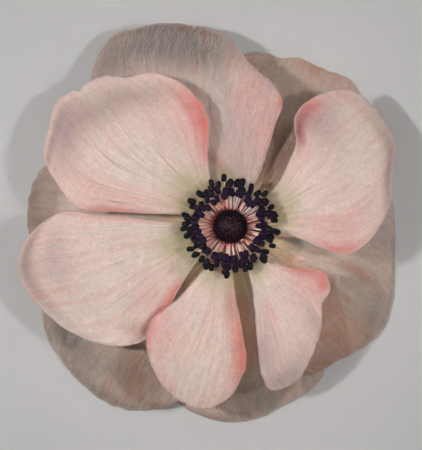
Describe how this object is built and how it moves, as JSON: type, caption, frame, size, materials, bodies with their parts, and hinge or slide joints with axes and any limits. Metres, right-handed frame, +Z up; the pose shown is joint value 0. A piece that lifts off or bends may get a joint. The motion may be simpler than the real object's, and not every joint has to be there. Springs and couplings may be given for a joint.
{
  "type": "ranunculus flower",
  "caption": "Single open ranunculus flower head with blush petals, a ring of dark stamens and a dark domed pistil head, lying face up.",
  "frame": {"origin": "middle of the flower's box at the level of the surface that it lies on; the flower's own upright axis stands 5.1 mm along +X and 0.7 mm along -Y from it", "axes": "+Z up, out of the flower's face; +X and +Y across the petals, +Y towards the top of the flower as it is looked down on"},
  "size_m": [0.0854, 0.0902, 0.0152],
  "materials": {
    "inner_petal": "satin",
    "outer_petal": "satin",
    "stamens": "satin",
    "pistil_head": "matte",
    "sepal": "matte",
    "stem": "satin"
  },
  "bodies": {
    "root": {"stem": "stem", "sepal_1": "sepal", "sepal_2": "sepal", "sepal_3": "sepal", "sepal_4": "sepal", "sepal_5": "sepal", "inner_petal_1": "inner_petal", "inner_petal_2": "inner_petal", "inner_petal_3": "inner_petal", "inner_petal_4": "inner_petal", "inner_petal_5": "inner_petal", "middle_petal": "outer_petal", "outer_petal_1": "outer_petal", "outer_petal_2": "outer_petal", "outer_petal_3": "outer_petal", "outer_petal_4": "outer_petal", "outer_petal_5": "outer_petal", "stamens": "stamens", "pistil_head": "pistil_head"}
  },
  "joints": []
}
